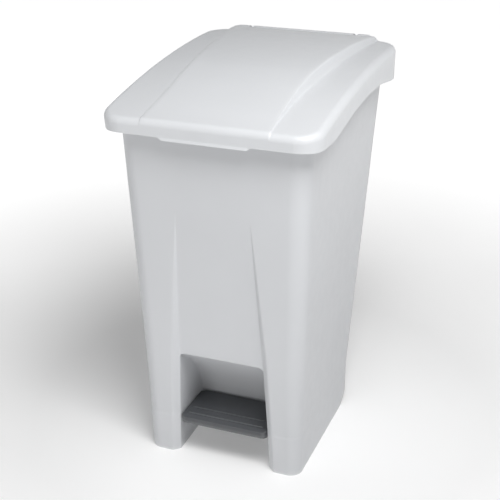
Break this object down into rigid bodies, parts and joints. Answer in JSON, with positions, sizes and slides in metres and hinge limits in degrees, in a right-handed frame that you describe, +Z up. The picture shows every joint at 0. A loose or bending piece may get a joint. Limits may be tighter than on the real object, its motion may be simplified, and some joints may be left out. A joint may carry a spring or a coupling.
{
  "type": "pedal bin",
  "caption": "Tapered waste bin with a hinged arched lid that a foot pedal lifts through a steel rod up the back; two small rear wheels for tipping it away.",
  "frame": {"origin": "on the floor, below the middle of the lid's outline", "axes": "+X across to the right seen from the pedal side, +Y from the pedal side to the hinge side, +Z up"},
  "size_m": [0.38, 0.49, 0.7],
  "materials": {
    "white_body": "satin moulded polypropylene",
    "white_lid": "satin moulded polypropylene, fine texture",
    "charcoal_pedal": "satin moulded polypropylene",
    "zinc_steel": "zinc plated",
    "black_cap": "satin",
    "natural_nylon": "natural nylon",
    "white_pin": "satin moulded",
    "grey_rubber": "matt",
    "black_wheel": "satin moulded"
  },
  "bodies": {
    "bin_body": {"body_shell": "white_body", "axle_bushes": "natural_nylon", "pedal_axle": "zinc_steel", "axle_clips": "black_cap", "rod_guide_lower": "natural_nylon", "rod_guide_upper": "natural_nylon", "guide_screws": "zinc_steel", "lid_buffers": "grey_rubber", "wheel_axle": "zinc_steel", "wheel_spacers": "natural_nylon", "wheel_caps": "black_cap"},
    "lid": {"lid_shell": "white_lid", "hinge_pin_left": "white_pin", "hinge_pin_right": "white_pin"},
    "pedal": {"pedal_lever": "charcoal_pedal"},
    "rod": {"lifting_rod": "zinc_steel", "rod_lower_clip": "black_cap", "rod_upper_clip": "black_cap"},
    "left_wheel": {"wheel_left": "black_wheel"},
    "right_wheel": {"wheel_right": "black_wheel"}
  },
  "joints": [
    {"name": "lid_hinge", "type": "hinge", "parent": "bin_body", "child": "lid", "pos_m": [0, 0.232, 0.636], "axis": [-1, 0, 0], "range_deg": [0, 75]},
    {"name": "pedal_pivot", "type": "hinge", "parent": "bin_body", "child": "pedal", "pos_m": [0, -0.064, 0.04], "axis": [1, 0, 0], "range_deg": [0, 15.8]},
    {"name": "rod_pivot", "type": "hinge", "parent": "pedal", "child": "rod", "pos_m": [0, 0.0685, 0.044], "axis": [-1, 0, 0], "range_deg": [0, 17.3]},
    {"name": "left_wheel_spin", "type": "hinge", "parent": "bin_body", "child": "left_wheel", "pos_m": [-0.112, 0.05, 0.0265], "axis": [1, 0, 0], "continuous": true},
    {"name": "right_wheel_spin", "type": "hinge", "parent": "bin_body", "child": "right_wheel", "pos_m": [0.112, 0.05, 0.0265], "axis": [1, 0, 0], "continuous": true}
  ],
  "couplings": [
    {"joint": "pedal_pivot", "follows": "lid_hinge", "ratio": 0.21},
    {"joint": "rod_pivot", "follows": "lid_hinge", "ratio": 0.23043}
  ]
}
